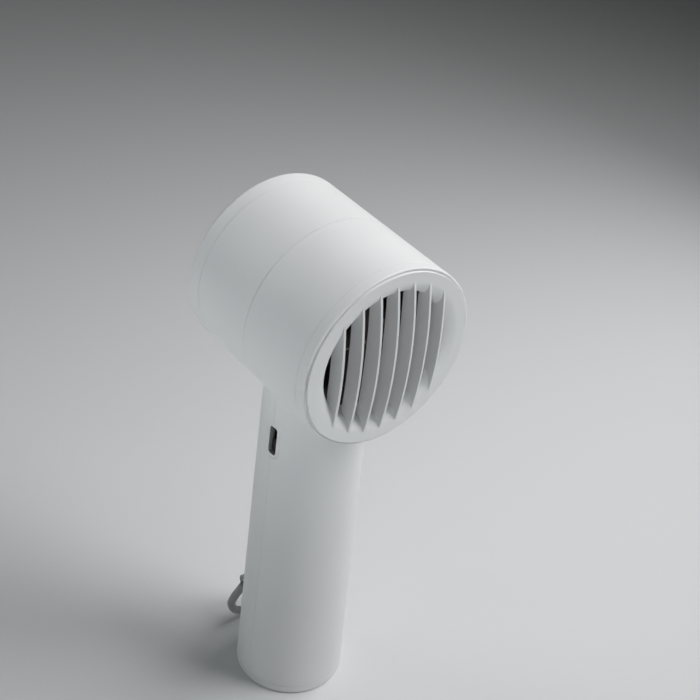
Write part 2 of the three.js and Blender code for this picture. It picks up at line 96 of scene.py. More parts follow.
class Finish:
    """A material made of one Principled shader and the nodes that feed it."""

    def __init__(self, name, **fixed):
        self.material = bpy.data.materials.new(name)
        self.material.use_nodes = True
        self.tree = self.material.node_tree
        self.shader = self.tree.nodes["Principled BSDF"]
        for socket, value in fixed.items():
            self.shader.inputs[socket.replace("_", " ")].default_value = value
        self.place = self.node("ShaderNodeTexCoord", out="Object")

    def node(self, kind, settings=None, inputs=None, out=0):
        """Adds any node: its settings first, then the values or wires of its sockets."""
        made = self.tree.nodes.new(kind)
        for key, value in (settings or {}).items():
            if key == "stops":
                ramp = made.color_ramp
                for place, colour in value[:2]:
                    index = 0 if place == value[0][0] else 1
                    ramp.elements[index].position = place
                    ramp.elements[index].color = colour
                for place, colour in value[2:]:
                    ramp.elements.new(place).color = colour
            else:
                setattr(made, key, value)
        for key, value in (inputs or {}).items():
            if isinstance(value, Wire):
                self.tree.links.new(value.socket, made.inputs[key])
            else:
                made.inputs[key].default_value = value
        return Wire(self, made.outputs[out])

    def maths(self, operation, first, second):
        return self.node("ShaderNodeMath", {"operation": operation}, {0: first, 1: second})

    def noise(self, scale, detail=3.0, roughness=0.5, place=None):
        inputs = {"Vector": place or self.place, "Scale": scale, "Detail": detail, "Roughness": roughness}
        return self.node("ShaderNodeTexNoise", None, inputs)

    def ramp(self, factor, *stops):
        return self.node("ShaderNodeValToRGB", {"stops": stops}, {"Fac": factor})

    def mix(self, factor, first, second):
        return self.node("ShaderNodeMix", {"data_type": "RGBA"}, {0: factor, 6: first, 7: second}, out=2)

    def stretch(self, scale):
        return self.node("ShaderNodeMapping", None, {"Vector": self.place, "Scale": scale})

    def feed(self, socket, wire):
        self.tree.links.new(wire.socket, self.shader.inputs[socket])

    def bump(self, height, strength, distance):
        inputs = {"Height": height, "Strength": strength, "Distance": distance}
        self.feed("Normal", self.node("ShaderNodeBump", None, inputs))


def grey(value, warmth=0.0):
    return (value * (1 + warmth), value, value * (1 - warmth), 1.0)


grain_height = 0.00012


def moulded_plastic(name, light, dark, roughness):
    """Spark-eroded moulded plastic: a fine even grain, faint flow marks and handling haze."""
    finish = Finish(name, IOR=1.49)
    flow = finish.noise(38, 3, 0.55)
    grain = finish.noise(2600, 2, 0.6)
    haze = finish.noise(120, 4, 0.65)
    finish.feed("Base Color", finish.mix(flow, light, dark))
    finish.feed("Roughness", roughness - 0.06 + haze * 0.09 + grain * 0.05)
    finish.bump(grain + haze * 0.25, 0.10, grain_height)
    return finish.material


white_shell = moulded_plastic("matte_white_shell", grey(0.83, -0.004), grey(0.79, -0.006), 0.46)


def dress(piece, material):
    piece.data.materials.clear()
    piece.data.materials.append(material)


def pick(*pieces):
    """Selects these pieces and nothing else; the last one is the active one."""
    bpy.ops.object.select_all(action="DESELECT")
    for piece in pieces:
        piece.select_set(True)
    bpy.context.view_layer.objects.active = pieces[-1]


def edit(piece):
    pick(piece)
    bpy.ops.object.mode_set(mode="EDIT")
    bpy.ops.mesh.select_all(action="SELECT")


def close_edit():
    bpy.ops.object.mode_set(mode="OBJECT")


def apply_modifier(piece, kind, **settings):
    pick(piece)
    modifier = piece.modifiers.new(kind.lower(), kind)
    for key, value in settings.items():
        setattr(modifier, key, value)
    bpy.ops.object.modifier_apply(modifier=modifier.name)


def smooth(piece, degrees=32):
    """Shades round faces smooth, keeps edges sharper than this angle, and lets flat faces rule."""
    pick(piece)
    bpy.ops.object.shade_smooth_by_angle(angle=math.radians(degrees))
    apply_modifier(piece, "WEIGHTED_NORMAL", keep_sharp=True, weight=80)


def cut(piece, tool, operation="DIFFERENCE"):
    """Cuts, joins or keeps the overlap of a piece with a tool, and throws the tool away."""
    apply_modifier(piece, "BOOLEAN", object=tool, operation=operation, solver="EXACT")
    bpy.data.objects.remove(tool)


def settle(piece):
    """Puts a primitive's place, turn and size into its mesh."""
    pick(piece)
    bpy.ops.object.transform_apply(location=True, rotation=True, scale=True)
    return piece


def block(size, centre, turn=(0, 0, 0)):
    bpy.ops.object.select_all(action="DESELECT")
    bpy.ops.mesh.primitive_cube_add(size=1, location=centre, rotation=turn, scale=size)
    return settle(bpy.context.object)


def turned(name, profile, axis=BARREL_AXIS, centre=BARREL_CENTRE, sides=fine_sides, out=(1, 0, 0)):
    """Draws a half section of (radius, distance along the axis) points and spins it round."""
    corners = [Vector(centre) + Vector(out) * r + Vector(axis) * a for r, a in profile]
    if profile[0][0] > 0 or profile[-1][0] > 0:
        corners.append(corners[0])
    bpy.ops.object.select_all(action="DESELECT")
    bpy.ops.mesh.primitive_plane_add(size=0.001)
    piece = bpy.context.object
    piece.name = name
    edit(piece)
    bpy.ops.mesh.merge(type="CENTER")
    bpy.ops.transform.translate(value=corners[0])
    for here, there in zip(corners, corners[1:]):
        bpy.ops.mesh.extrude_region_move(TRANSFORM_OT_translate={"value": there - here})
    bpy.ops.mesh.select_all(action="SELECT")
    bpy.ops.mesh.spin(steps=sides, angle=math.tau, center=centre, axis=axis)
    bpy.ops.mesh.select_all(action="SELECT")
    bpy.ops.mesh.remove_doubles(threshold=fine_weld)
    bpy.ops.mesh.normals_make_consistent(inside=False)
    close_edit()
    return piece


def corner(radius, along, size, start, end, steps=4):
    """Points of a rounded corner about a centre, from one angle to another, in degrees."""
    points = []
    for step in range(steps + 1):
        turn = math.radians(start + (end - start) * step / steps)
        points.append((radius + size * math.cos(turn), along + size * math.sin(turn)))
    return points


def from_outlet(profile):
    return [(r, outlet_y + depth) for r, depth in profile]


outlet = turned("outlet_ring_and_vanes", from_outlet([
    *corner(ring_radius - ring_edge, ring_edge, ring_edge, -90, 0),
    (ring_radius, ring_step),
    (skirt_radius, ring_step),
    (skirt_radius, skirt_end),
    (skirt_radius - mould_wall, skirt_end),
    (skirt_radius - mould_wall, mould_wall),
    *corner(lip_radius, lip_depth, lip_depth - mould_wall, -90, -180, 10),
    (lip_radius - lip_depth + mould_wall, throat_end),
    (lip_radius - lip_depth, throat_end),
    *corner(lip_radius, lip_depth, lip_depth, -180, -90, 18),
]))

# The vanes are a comb of flat plates, kept only where they pass through a dished lens.
plate_depth = 0.03
plate_height = 0.08
first_vane_x = -vane_pitch * (vane_count - 1) / 2
vanes = block((vane_thickness, plate_depth, plate_height), (first_vane_x, outlet_y, barrel_z))
apply_modifier(
    vanes, "ARRAY", count=vane_count, use_relative_offset=False,
    use_constant_offset=True, constant_offset_displace=(vane_pitch, 0, 0),
)


def dome(radius):
    return -dome_rise + dome_bow * radius * radius


def vane_rear(radius):
    return vane_back + vane_back_bow * radius * radius


def lip_at(depth):
    rise = 1 - min(depth, lip_depth) / lip_depth
    return lip_radius - lip_depth * math.sqrt(1 - rise * rise)


half_wall = mould_wall / 2
lens_edge = lip_radius - 0.0002
end_depths = (0.0004, 0.001, 0.0018, 0.0027, 0.0037, 0.0047)
front_steps = 20
back_steps = 12
vane_edge = 0.00016
front_radii = [lens_edge * step / front_steps for step in range(front_steps + 1)]
front_line = [(radius, dome(radius)) for radius in front_radii]
end_line = [(lip_at(depth) + half_wall, depth) for depth in end_depths]
back_edge = end_line[-1][0]
back_radii = [back_edge * step / back_steps for step in range(back_steps, -1, -1)]
back_line = [(radius, vane_rear(radius)) for radius in back_radii]
lens = turned("lens", from_outlet(front_line + end_line + back_line[1:]))
cut(vanes, lens, "INTERSECT")
edit(vanes)
bpy.ops.mesh.remove_doubles(threshold=weld)
bpy.ops.mesh.dissolve_limited(angle_limit=math.radians(0.6))
close_edit()
apply_modifier(
    vanes, "BEVEL", width=vane_edge, segments=2, limit_method="ANGLE", angle_limit=math.radians(60),
)
pick(vanes, outlet)
bpy.ops.object.join()
smooth(outlet)
dress(outlet, white_shell)
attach(outlet, "housing")
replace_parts(outlet, "outlet_grille")


# ---------------------------------------------------------------------------------------------
# Front band
# A narrow trim ring of the same white plastic. It closes the barrel round the outlet ring, with
# a fine groove between the two, and its front rim is rolled over just behind the ring's face.
# ---------------------------------------------------------------------------------------------

barrel_radius = 0.0375
barrel_taper = 0.0003
barrel_length = 0.0765
barrel_bore = 0.0349
groove_floor = 0.00102
groove_width = 0.00055
crest_depth = 0.00072
inner_rim = 0.0002
band_end = 0.0053
seam_edge = 0.00012
hairline = 0.00003


def barrel_at(depth):
    return barrel_radius - barrel_taper * depth / barrel_length


groove_outside = ring_radius + groove_width
rim = barrel_radius - groove_outside - inner_rim
band = turned("front_trim_band", from_outlet([
    (barrel_bore, groove_floor),
    (groove_outside, groove_floor),
    *corner(groove_outside + inner_rim, crest_depth + inner_rim, inner_rim, 180, 270, 4),
    *corner(barrel_radius - rim, crest_depth + rim, rim, -90, 0, 8)[1:],
    *corner(barrel_at(band_end) - seam_edge, band_end - hairline - seam_edge, seam_edge, 0, 90, 3),
    (barrel_bore, band_end - hairline),
]))
smooth(band)
dress(band, white_shell)
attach(band, "housing")
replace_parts(band, "front_band")


# ---------------------------------------------------------------------------------------------
# Barrel shells
# Two plain white tubes, front and rear, that meet at a fine seam over the handle. Each has half
# of the round hole underneath that the handle's neck and the wires come up through.
# ---------------------------------------------------------------------------------------------

middle_seam = 0.0382
cover_seam = 0.069
neck_radius = 0.0104
seam_gap = 0.00013
seam_round = 0.0001
fit_gap = 0.0003


def rod(radius, length, centre, axis, sides=96):
    """A plain cylinder along X, Y or Z, to cut or join with."""
    turn = {"X": (0, math.pi / 2, 0), "Y": (math.pi / 2, 0, 0), "Z": (0, 0, 0)}[axis]
    bpy.ops.object.select_all(action="DESELECT")
    bpy.ops.mesh.primitive_cylinder_add(
        vertices=sides, radius=radius, depth=length, location=centre, rotation=turn,
    )
    return settle(bpy.context.object)


def barrel_tube(name, start, end, start_round, end_round):
    shell = turned(name, from_outlet([
        (barrel_bore, start),
        *corner(barrel_at(start) - start_round, start + start_round, start_round, -90, 0, 3),
        *corner(barrel_at(end) - end_round, end - end_round, end_round, 0, 90, 3),
        (barrel_bore, end),
    ]))
    cut(shell, rod(neck_radius + fit_gap, 0.02, (0, 0, barrel_z - barrel_radius), "Z"))
    smooth(shell)
    dress(shell, white_shell)
    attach(shell, "housing")
    return shell


half_gap = seam_gap / 2
front_tube = barrel_tube("front_barrel", band_end + hairline, middle_seam - half_gap, seam_edge, seam_round)
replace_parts(front_tube, "front_barrel_shell")
rear_tube = barrel_tube("rear_barrel", middle_seam + half_gap, cover_seam - half_gap, seam_round, seam_round)
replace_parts(rear_tube, "rear_barrel_shell")


# ---------------------------------------------------------------------------------------------
# Intake cover
# A white moulded cap at the back of the barrel with rings of curved slots between six spokes.
# Its rim pushes inside the rear shell, and it pulls off backwards with the filter in it.
# ---------------------------------------------------------------------------------------------

cover_face = 0.002
cover_round = 0.0022
cover_rim_start = 0.0664
cover_edge = barrel_at(barrel_length)
slot_width = 0.0034
slot_pitch = 0.0056
slot_first = 0.005
slot_rings = 5
spoke_width = 0.0024
cover_rim_wall = 0.002
overcut = 0.001
cover_inside = barrel_length - cover_face
cover_start = cover_seam + half_gap

cover = turned("intake_cap", from_outlet([
    (0, cover_inside),
    (skirt_radius - cover_rim_wall, cover_inside),
    (skirt_radius - cover_rim_wall, cover_rim_start),
    (skirt_radius, cover_rim_start),
    (skirt_radius, cover_start),
    *corner(cover_edge - seam_round, cover_start + seam_round, seam_round, -90, 0, 3),
    *corner(cover_edge - cover_round, barrel_length - cover_round, cover_round, 0, 90, 10),
    (0, barrel_length),
]))


def slot_ring(number):
    """A ring of air right through the cover's face."""
    inner = slot_first + slot_pitch * number
    outer = inner + slot_width
    start = cover_inside - overcut
    end = barrel_length + overcut
    section = [(inner, start), (outer, start), (outer, end), (inner, end)]
    return turned("slot_ring", from_outlet(section), sides=96)


slots = slot_ring(0)
for number in range(1, slot_rings):
    cut(slots, slot_ring(number), "UNION")
for spoke in range(3):
    turn = (0, math.tau * spoke / 6, 0)
    cut(slots, block((spoke_width, 0.02, 0.09), (0, outlet_y + barrel_length, barrel_z), turn))
cut(cover, slots)
smooth(cover)
dress(cover, white_shell)
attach(cover, "cover")
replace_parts(cover, "intake_cover")


# ---------------------------------------------------------------------------------------------
# Intake filter
# A disc of fine woven wire that keeps lint out. It is clipped in the cover behind the slots, and
# it is seen only as a dark sheen between them.
# ---------------------------------------------------------------------------------------------

weave = Finish("woven_filter_wire", Metallic=0.8, IOR=1.8)
wires_per_metre = 900
across = weave.node("ShaderNodeSeparateXYZ", None, {"Vector": weave.place}, out="X")
upward = weave.node("ShaderNodeSeparateXYZ", None, {"Vector": weave.place}, out="Z")
warp = weave.node("ShaderNodeMath", {"operation": "SINE"}, {0: across * (math.tau * wires_per_metre)})
weft = weave.node("ShaderNodeMath", {"operation": "SINE"}, {0: upward * (math.tau * wires_per_metre)})
crossing = warp * weft * 0.5 + 0.5
weave.feed("Base Color", weave.ramp(crossing, (0.25, grey(0.02)), (0.8, grey(0.32))))
weave.feed("Roughness", 0.32 + crossing * 0.2)
weave.bump(crossing, 0.6, 0.0003)
dress(cad["intake_filter"], weave.material)


# ---------------------------------------------------------------------------------------------
# Fan, motor and housing
# The housing is a dark heat-proof moulding that holds the steel-cased motor in a cup on seven
# fixed blades. The grey nylon impeller is pressed on the motor's shaft behind it.
# ---------------------------------------------------------------------------------------------

dark_duct = moulded_plastic("dark_duct_plastic", grey(0.035), grey(0.028), 0.5)
dress(cad["fan_housing"], dark_duct)
impeller_nylon = moulded_plastic("grey_impeller_nylon", grey(0.27), grey(0.24), 0.42)
dress(cad["fan_impeller"], impeller_nylon)
black_bell = moulded_plastic("black_motor_bell", grey(0.02), grey(0.016), 0.38)
dress(cad["motor_end_cap"], black_bell)


def drawn_steel(name, tone, roughness, pull):
    """Drawn or rolled steel: long fine draw lines one way, a few dull spots."""
    finish = Finish(name, Metallic=1.0)
    lines = finish.noise(900, 2, 0.5, finish.stretch(pull))
    spots = finish.noise(260, 3, 0.6)
    finish.feed("Base Color", finish.mix(spots, grey(tone, 0.01), grey(tone * 0.84, 0.015)))
    finish.feed("Roughness", roughness + lines * 0.12 + spots * 0.06)
    finish.bump(lines, 0.12, 0.0001)
    return finish.material


motor_steel = drawn_steel("motor_can_steel", 0.55, 0.26, (1, 0.05, 1))
dress(cad["motor_can"], motor_steel)
shaft_steel = drawn_steel("ground_shaft_steel", 0.62, 0.16, (1, 0.05, 1))
dress(cad["motor_shaft"], shaft_steel)


# ---------------------------------------------------------------------------------------------
# Heater
# Two mica sheets slotted into a cross, wound with two resistance wires and slid into a rolled
# mica sleeve. A thermostat and a thermal fuse are clipped to the level sheet.
# ---------------------------------------------------------------------------------------------

mica = Finish("pressed_mica_sheet", IOR=1.56, Coat_Weight=0.25, Coat_Roughness=0.2)
flake_size = {"Vector": mica.place, "Scale": 420.0}
flakes = mica.node("ShaderNodeTexVoronoi", {"feature": "F1"}, flake_size, out="Color")
clouding = mica.noise(160, 5, 0.6)
mica.feed("Base Color", mica.mix(clouding, (0.16, 0.145, 0.12, 1), (0.08, 0.07, 0.055, 1)))
mica.feed("Roughness", 0.3 + clouding * 0.3)
mica.bump(flakes, 0.15, 0.0002)
for node in ("mica_plate_level", "mica_plate_upright", "mica_sleeve"):
    dress(cad[node], mica.material)

oxide = Finish("oxidised_resistance_wire", Metallic=0.9)
tarnish = oxide.noise(700, 4, 0.6)
oxide.feed("Base Color", oxide.mix(tarnish, (0.22, 0.19, 0.18, 1), (0.10, 0.085, 0.10, 1)))
oxide.feed("Roughness", 0.35 + tarnish * 0.25)
oxide.bump(tarnish, 0.2, 0.0001)
for node in ("heating_coil_front", "heating_coil_rear"):
    dress(cad[node], oxide.material)
brown_case = moulded_plastic("brown_thermostat_case", (0.09, 0.05, 0.03, 1), (0.07, 0.04, 0.03, 1), 0.4)
dress(cad["thermostat"], brown_case)
fuse_steel = drawn_steel("fuse_case_steel", 0.6, 0.2, (1, 0.05, 1))
dress(cad["thermal_fuse"], fuse_steel)


# ---------------------------------------------------------------------------------------------
# Handle shells
# Two long half tubes of white plastic, front and rear, that meet at a fine seam just in front of
# the handle's middle. Their top ends are saddled to the barrel and carry half a neck each.
# ---------------------------------------------------------------------------------------------

HANDLE_AXIS = (0, 0, 1)
HANDLE_CENTRE = (0, 0, 0)
handle_base = 0.02308
handle_slope = 0.01475
handle_wall = 0.0022
handle_top = barrel_z - 0.020
cap_height = 0.004
seam_y = -0.002
handle_seam = 0.0001
saddle_gap = 0.0003
saddle_wall = 0.003
neck_bore = 0.0084
neck_top = barrel_z - barrel_bore - fit_gap
neck_rise = 0.009


def handle_at(z):
    return handle_base - handle_slope * z


def pull(piece, axis, from_place, sign, distance):
    """Moves the points on one side of a place along one axis, out from that place."""
    edit(piece)
    bpy.ops.mesh.select_all(action="DESELECT")
    mesh = bmesh.from_edit_mesh(piece.data)
    for point in mesh.verts:
        point.select_set((point.co[axis] - from_place) * sign > 1e-7)
    mesh.select_flush_mode()
    bmesh.update_edit_mesh(piece.data)
    shift = [0, 0, 0]
    shift[axis] = sign * distance
    bpy.ops.transform.translate(value=shift)
    close_edit()


def pill(width, height, length, centre, axis, corner_radius=None, sides=48):
    """An upright slot shape: a cylinder pulled apart into four quarters."""
    corner_radius = corner_radius or width / 2
    shape = rod(corner_radius, length, centre, axis, sides)
    across = 1 if axis == "X" else 0
    for direction, reach in ((across, width / 2 - corner_radius), (2, height / 2 - corner_radius)):
        if reach > 0:
            pull(shape, direction, centre[direction], 1, reach)
            pull(shape, direction, centre[direction], -1, reach)
    return shape


shell_start = cap_height + handle_seam
cavity_start = cap_height - overcut
handle = turned("handle", [
    (0, shell_start),
    *corner(handle_at(cap_height) - seam_round, shell_start + seam_round, seam_round, -90, 0, 3),
    (handle_at(0.05), 0.05),
    (handle_at(0.10), 0.10),
    (handle_at(handle_top), handle_top),
    (0, handle_top),
], HANDLE_AXIS, HANDLE_CENTRE)
cavity = turned("cavity", [
    (0, cavity_start),
    (handle_at(cap_height) - handle_wall, cavity_start),
    (handle_at(handle_top) - handle_wall, handle_top),
    (0, handle_top),
], HANDLE_AXIS, HANDLE_CENTRE, 96)
saddle_length = 0.12
cut(cavity, rod(barrel_radius + saddle_gap + saddle_wall, saddle_length, BARREL_CENTRE, "Y", 256))
cut(handle, rod(barrel_radius + saddle_gap * 0.4, saddle_length, BARREL_CENTRE, "Y", 512))
cut(handle, rod(neck_radius, neck_rise, (0, 0, neck_top - neck_rise / 2), "Z"), "UNION")
cut(handle, cavity)
cut(handle, rod(neck_bore, 0.04, (0, 0, neck_top - 0.010), "Z"))

# Lug for the hanging loop, at the bottom of the back.
loop_y = 0.0305
loop_z = 0.022
lug_width = 0.005
lug_radius = 0.0035
lug_reach = 0.012
pin_radius = 0.0013
pin_hole = pin_radius + fit_gap
lug = block((lug_width, lug_reach, 2 * lug_radius), (0, loop_y - lug_reach / 2, loop_z))
cut(lug, rod(lug_radius, lug_width, (0, loop_y, loop_z), "X", 48), "UNION")
cut(lug, rod(handle_at(loop_z) - 0.001, 0.03, (0, 0, loop_z), "Z", 96))
cut(handle, lug, "UNION")
cut(handle, rod(pin_hole, 0.02, (0, loop_y, loop_z), "X", 32))

# Openings for the controls.
selector_z = 0.134
bezel_width = 0.0074
bezel_height = 0.0166
power_z = 0.102
power_slot_width = 0.005
power_slot_height = 0.014
cool_z = 0.137
cool_radius = 0.005
bezel_gap = 0.00009
bezel_drop = 0.0001
skin_place = 0.022
skin_cut = 0.016
cut(handle, pill(
    bezel_width + 2 * bezel_gap, bezel_height + 2 * bezel_gap, skin_cut,
    (-skin_place, seam_y, selector_z - bezel_drop), "X",
))
cut(handle, pill(power_slot_width, power_slot_height, skin_cut, (0, skin_place, power_z), "Y"))
cut(handle, rod(cool_radius + fit_gap, skin_cut, (0, skin_place, cool_z), "Y", 64))


def half_handle(name, sign):
    """Copies the whole handle and keeps one side of the seam."""
    half = handle.copy()
    half.data = handle.data.copy()
    half.name = name
    bpy.context.collection.objects.link(half)
    reach = 0.1
    middle = seam_y + sign * (handle_seam / 2 + reach / 2)
    cut(half, block((reach * 2, reach, reach * 6), (0, middle, 0.1)), "INTERSECT")
    smooth(half)
    dress(half, white_shell)
    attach(half, "housing")
    return half


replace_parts(half_handle("front_handle_half", -1), "handle_front_shell")
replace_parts(half_handle("rear_handle_half", 1), "handle_rear_shell")
bpy.data.objects.remove(handle)


# ---------------------------------------------------------------------------------------------
# Side selector
# A pill-shaped bezel of the same white plastic is set flush in the handle's side. Its slot's walls
# have a thin grey sheet of painted shade, and a dark slide, near black as painted shade, runs on a
# plate deep behind it.
# ---------------------------------------------------------------------------------------------

selector_slot_width = 0.0043
selector_slot_height = 0.0134
slot_corner = 0.0014
shade_sheet_wall = 0.0002
shade_sheet_sink = 0.00012
bezel_depth = 0.0024
bezel_reach = 0.015
slot_place = (-0.020, seam_y, selector_z)


def handle_skin(name, inner, outer, bottom, top):
    """A band of the handle's surface between two offsets, from one height to another."""
    return turned(name, [
        (handle_at(bottom) + inner, bottom),
        (handle_at(bottom) + outer, bottom),
        (handle_at(top) + outer, top),
        (handle_at(top) + inner, top),
    ], HANDLE_AXIS, HANDLE_CENTRE)


bezel_bottom = selector_z - bezel_reach
bezel_top = selector_z + bezel_reach
bezel = handle_skin("selector_frame", -bezel_depth, 0, bezel_bottom, bezel_top)
cut(bezel, pill(bezel_width, bezel_height, 0.01, slot_place, "X"), "INTERSECT")
cut(bezel, pill(selector_slot_width, selector_slot_height, skin_cut, slot_place, "X", slot_corner))
smooth(bezel)
dress(bezel, white_shell)
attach(bezel, "housing")
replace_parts(bezel, "selector_bezel")

# The slide is dark plastic, and its colour is taken near black as painted shade for the deep slot.
slide_black_painted_shade = moulded_plastic("dark_slide_painted_shade", grey(0.007), grey(0.005), 0.6)
dress(cad["selector_slide"], slide_black_painted_shade)

# A thin grey sheet over the slot's walls: painted shade, standing in for the white walls of the slot in
# shadow.
slot_shade_paint = moulded_plastic("slot_wall_painted_shade", grey(0.29), grey(0.26), 0.5)
slot_shade_sheet = handle_skin("selector_slot_painted_shade", -bezel_depth, -shade_sheet_sink, bezel_bottom, bezel_top)
cut(slot_shade_sheet, pill(
    selector_slot_width, selector_slot_height, 0.01, slot_place, "X", slot_corner,
), "INTERSECT")
cut(slot_shade_sheet, pill(
    selector_slot_width - 2 * shade_sheet_wall, selector_slot_height - 2 * shade_sheet_wall, skin_cut,
    slot_place, "X", slot_corner - shade_sheet_wall,
))
smooth(slot_shade_sheet)
dress(slot_shade_sheet, slot_shade_paint)
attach(slot_shade_sheet, "housing")


# ---------------------------------------------------------------------------------------------
# Power slide and cool-shot button
# Two grey satin controls on the back of the handle: a curved pad that slides up to switch on,
# and a round button that blows cold while it is held in.
# ---------------------------------------------------------------------------------------------

control_grey = moulded_plastic("grey_control_plastic", grey(0.36), grey(0.33), 0.4)
power_travel = 0.006
pad_z = power_z - power_travel / 2
pad_width = 0.011
pad_height = 0.024
pad_gap = 0.0004
pad_top = 0.002
pad_reach = 0.025
pad = handle_skin("power_pad", pad_gap, pad_top, power_z - pad_reach, power_z + pad_reach)
cut(pad, pill(pad_width, pad_height, 0.014, (0, skin_place, pad_z), "Y"), "INTERSECT")
rib_pitch = 0.0024
rib_groove = 0.00045
rib_length = 0.0085
for rib in range(-2, 3):
    groove_z = pad_z + rib * rib_pitch
    cut(pad, rod(rib_groove, rib_length, (0, handle_at(groove_z) + 0.0021, groove_z), "X", 16))
edit(pad)
bpy.ops.mesh.remove_doubles(threshold=weld)
close_edit()
stem_width = power_slot_width - 2 * fit_gap
stem_height = power_slot_height - power_travel - 2 * fit_gap
stem = pill(stem_width, stem_height, 0.006, (0, handle_at(power_z) - 0.0018, pad_z), "Y")
cut(pad, stem, "UNION")
smooth(pad)
dress(pad, control_grey)
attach(pad, "power")
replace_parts(pad, "power_slide")

button_face = handle_at(cool_z) + 0.0013
button_inside = handle_at(cool_z) - 0.0036
button_flange = cool_radius + 0.001
button_back = button_inside - 0.0012
button_round = 0.0006
dish_radius = 0.0028
button = turned("cool_button", [
    (0, button_back),
    (button_flange, button_back),
    (button_flange, button_inside),
    (cool_radius, button_inside),
    *corner(cool_radius - button_round, button_face - button_round, button_round, 0, 90, 6),
    (dish_radius, button_face - 0.0003),
    (0, button_face - 0.00045),
], BARREL_AXIS, (0, 0, cool_z), 64)
smooth(button, 40)
dress(button, control_grey)
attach(button, "cool_shot")
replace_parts(button, "cool_shot_button")


# ---------------------------------------------------------------------------------------------
# Switches, board and capacitor
# Closed inside the handle: three black switch bodies, a green circuit board and the yellow
# capacitor that keeps motor noise off the mains. They are plain bought-in blocks.
# ---------------------------------------------------------------------------------------------

switch_black = moulded_plastic("black_switch_case", grey(0.018), grey(0.013), 0.36)
for node in ("power_switch", "selector_switch", "cool_shot_switch"):
    dress(cad[node], switch_black)
board = Finish("green_circuit_board", IOR=1.5, Coat_Weight=0.4, Coat_Roughness=0.15)
track_size = {"Vector": board.place, "Scale": 180.0}
tracks = board.node("ShaderNodeTexVoronoi", {"feature": "DISTANCE_TO_EDGE"}, track_size)
board.feed("Base Color", board.ramp(tracks, (0.05, (0.05, 0.16, 0.09, 1)), (0.12, (0.02, 0.09, 0.05, 1))))
board.feed("Roughness", 0.35 + tracks * 0.3)
board.bump(tracks, 0.2, 0.0001)
dress(cad["control_board"], board.material)
yellow_case = moulded_plastic("yellow_capacitor_case", (0.62, 0.42, 0.06, 1), (0.55, 0.37, 0.05, 1), 0.4)
dress(cad["suppression_capacitor"], yellow_case)


# ---------------------------------------------------------------------------------------------
# Base cap, screws and cord gland
# The flat white end of the handle, plugged in and held by two recessed screws. The soft grey
# gland for the cord sits behind the middle, just short of the face so the dryer can stand.
# ---------------------------------------------------------------------------------------------

gland_y = 0.0095
gland_hole = 0.0066
screw_x = 0.014
screw_head = 0.0025
screw_shank = 0.0013
cap_round = 0.0012
cap_plug = handle_base - handle_wall - fit_gap
plug_wall = 0.0018
plug_height = 0.004
boss_radius = 0.0034
boss_height = 0.0045
screw_sink = 0.0005
base = turned("handle_base_cap", [
    (0, 0),
    *corner(handle_base - cap_round, cap_round, cap_round, -90, 0, 8),
    *corner(handle_at(cap_height) - seam_round, cap_height - seam_round, seam_round, 0, 90, 3),
    (cap_plug, cap_height),
    (cap_plug, cap_height + plug_height),
    (cap_plug - plug_wall, cap_height + plug_height),
    (cap_plug - plug_wall, cap_height),
    (0, cap_height),
], HANDLE_AXIS, HANDLE_CENTRE)
for side in (-1, 1):
    boss_centre = (side * screw_x, 0, cap_height + 0.00175)
    cut(base, rod(boss_radius, boss_height, boss_centre, "Z", 48), "UNION")
cut(base, rod(gland_hole, 0.02, (0, gland_y, 0), "Z", 64))
for side in (-1, 1):
    cut(base, rod(screw_head + fit_gap, 0.006, (side * screw_x, 0, -0.0006), "Z", 48))
    cut(base, rod(screw_shank + fit_gap, 0.03, (side * screw_x, 0, 0.008), "Z", 32))
smooth(base)
dress(base, white_shell)
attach(base, "housing")
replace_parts(base, "base_cap")

head_round = 0.0004
head_back = 0.0021
screw_tip = 0.0095
cross_length = 0.0028
cross_width = 0.0006
zinc = drawn_steel("zinc_plated_screw", 0.58, 0.22, (1, 1, 1))
for side, node in ((-1, "base_screw_left"), (1, "base_screw_right")):
    screw = turned("screw_" + ("left" if side < 0 else "right"), [
        (0, screw_sink),
        *corner(screw_head - head_round, screw_sink + head_round, head_round, -90, 0, 4),
        (screw_head, head_back),
        (screw_shank, head_back),
        (screw_shank, screw_tip),
        (0, screw_tip),
    ], HANDLE_AXIS, (side * screw_x, 0, 0), 48)
    for arm in ((cross_width, cross_length, 0.002), (cross_length, cross_width, 0.002)):
        cut(screw, block(arm, (side * screw_x, 0, 0.0006)))
    smooth(screw)
    dress(screw, zinc)
    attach(screw, "housing")
    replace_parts(screw, node)


def soft_rubber(name, light, dark):
    """Matte moulded rubber with a bloom of dust and a slight sheen at the edges."""
    finish = Finish(name, IOR=1.5, Sheen_Weight=0.15, Sheen_Roughness=0.5)
    bloom = finish.noise(300, 5, 0.65)
    skin = finish.noise(1800, 2, 0.5)
    finish.feed("Base Color", finish.mix(bloom, light, dark))
    finish.feed("Roughness", 0.62 + bloom * 0.2)
    finish.bump(skin + bloom * 0.5, 0.15, grain_height)
    return finish.material


grey_rubber = soft_rubber("grey_loop_rubber", grey(0.40), grey(0.34))
cord_bore = 0.0036
gland_face = 0.0005
gland_round = 0.0004
gland_outside = gland_hole - fit_gap
flange_radius = gland_hole + 0.002
flange_top = cap_height + 0.002
gland = turned("cord_entry", [
    (cord_bore + gland_face, gland_face),
    *corner(gland_outside - gland_round, gland_face + gland_round, gland_round, -90, 0, 4),
    (gland_outside, cap_height + fit_gap),
    (flange_radius, cap_height + fit_gap),
    (flange_radius, flange_top),
    (cord_bore, flange_top),
    (cord_bore, 2 * gland_face),
], HANDLE_AXIS, (0, gland_y, 0), 96)
smooth(gland)
dress(gland, grey_rubber)
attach(gland, "housing")
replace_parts(gland, "cord_gland")


# ---------------------------------------------------------------------------------------------
# Hanging loop
# A bowed bar of firm grey rubber with an eye at each end, over a steel pin through the lug on
# the back of the handle. It hangs straight down and swings up beside the handle.
# ---------------------------------------------------------------------------------------------

